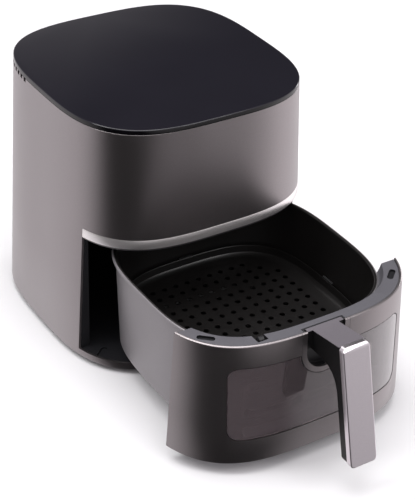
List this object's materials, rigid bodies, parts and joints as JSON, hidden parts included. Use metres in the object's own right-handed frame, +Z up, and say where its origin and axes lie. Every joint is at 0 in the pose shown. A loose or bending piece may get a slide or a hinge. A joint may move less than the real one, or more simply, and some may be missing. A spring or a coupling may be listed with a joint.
{
  "type": "air fryer",
  "caption": "Drawer air fryer: rounded-square housing, gloss black top, satin band, pull-out basket with viewing window, sloping handle, lift-out crisper plate, fan and heater inside.",
  "frame": {"origin": "centre of the object's bounding box in plan, with the drawer open as stored, on the surface that the feet stand on", "axes": "+Z up, -Y is the front (the drawer slides out along -Y), +X to the right seen from the front"},
  "size_m": [0.3048, 0.5818, 0.3016],
  "materials": {
    "lacquer": "satin metallic warm-grey paint on moulded plastic",
    "satin_metal": "satin",
    "gloss_black": "gloss black, smooth as glass",
    "grey_plastic": "fine-textured dark grey moulding",
    "black_plastic": "matt black moulding",
    "coated_steel": "non-stick coating on steel",
    "steel": "bare pressed steel",
    "heater_steel": "heat-darkened steel sheath",
    "tinted_glass": "smoke-tinted tempered glass",
    "clear_glass": "clear heat-proof glass",
    "rubber": "soft matt rubber",
    "circuit_board": "green solder mask"
  },
  "bodies": {
    "base_unit": {"housing": "lacquer", "top_panel": "gloss_black", "top_frame": "black_plastic", "trim_band": "satin_metal", "mouth_lip": "black_plastic", "drawer_bay": "black_plastic", "base_tray": "black_plastic", "foot_front_left": "rubber", "foot_front_right": "rubber", "foot_rear_left": "rubber", "foot_rear_right": "rubber", "base_screw_front_left": "steel", "base_screw_front_right": "steel", "base_screw_rear_left": "steel", "base_screw_rear_right": "steel", "cord_gland": "black_plastic", "rear_vent_grille": "black_plastic", "reflector_hood": "steel", "heater_coil": "heater_steel", "heater_guard": "steel", "motor_housing": "steel", "motor_bracket": "steel", "heat_shield": "steel", "thermal_cutout": "black_plastic", "temperature_sensor": "steel", "basket_lamp": "black_plastic", "lamp_cover": "clear_glass", "power_board": "circuit_board", "control_board": "circuit_board", "display_module": "black_plastic", "microswitch": "black_plastic"},
    "fan_rotor": {"motor_shaft": "steel", "convection_fan": "steel", "cooling_fan": "grey_plastic"},
    "plunger": {"switch_plunger": "grey_plastic"},
    "drawer": {"basket": "coated_steel", "inner_window": "clear_glass", "inner_window_frame": "steel", "front_skin": "lacquer", "front_frame": "grey_plastic", "outer_window": "tinted_glass", "window_seal": "rubber", "handle_pocket": "lacquer", "handle_body": "black_plastic", "handle_plate": "satin_metal", "handle_screw_left": "steel", "handle_screw_right": "steel", "interlock_tab": "black_plastic"},
    "crisper": {"crisper_plate": "coated_steel", "plate_bumper_front": "rubber", "plate_bumper_rear": "rubber", "plate_bumper_left": "rubber", "plate_bumper_right": "rubber"}
  },
  "joints": [
    {"name": "drawer_slide", "type": "slide", "parent": "base_unit", "child": "drawer", "axis": [0, -1, 0], "range_m": [-0.19375, 0.11]},
    {"name": "plate_lift", "type": "slide", "parent": "drawer", "child": "crisper", "axis": [0, 0, 1], "range_m": [0, 0.07]},
    {"name": "fan_spin", "type": "hinge", "parent": "base_unit", "child": "fan_rotor", "pos_m": [0, 0.13311, 0.206], "axis": [0, 0, 1], "continuous": true},
    {"name": "switch_travel", "type": "slide", "parent": "base_unit", "child": "plunger", "axis": [0, 0, 1], "range_m": [0, 0.0018], "stiffness_N_per_m": 200}
  ]
}
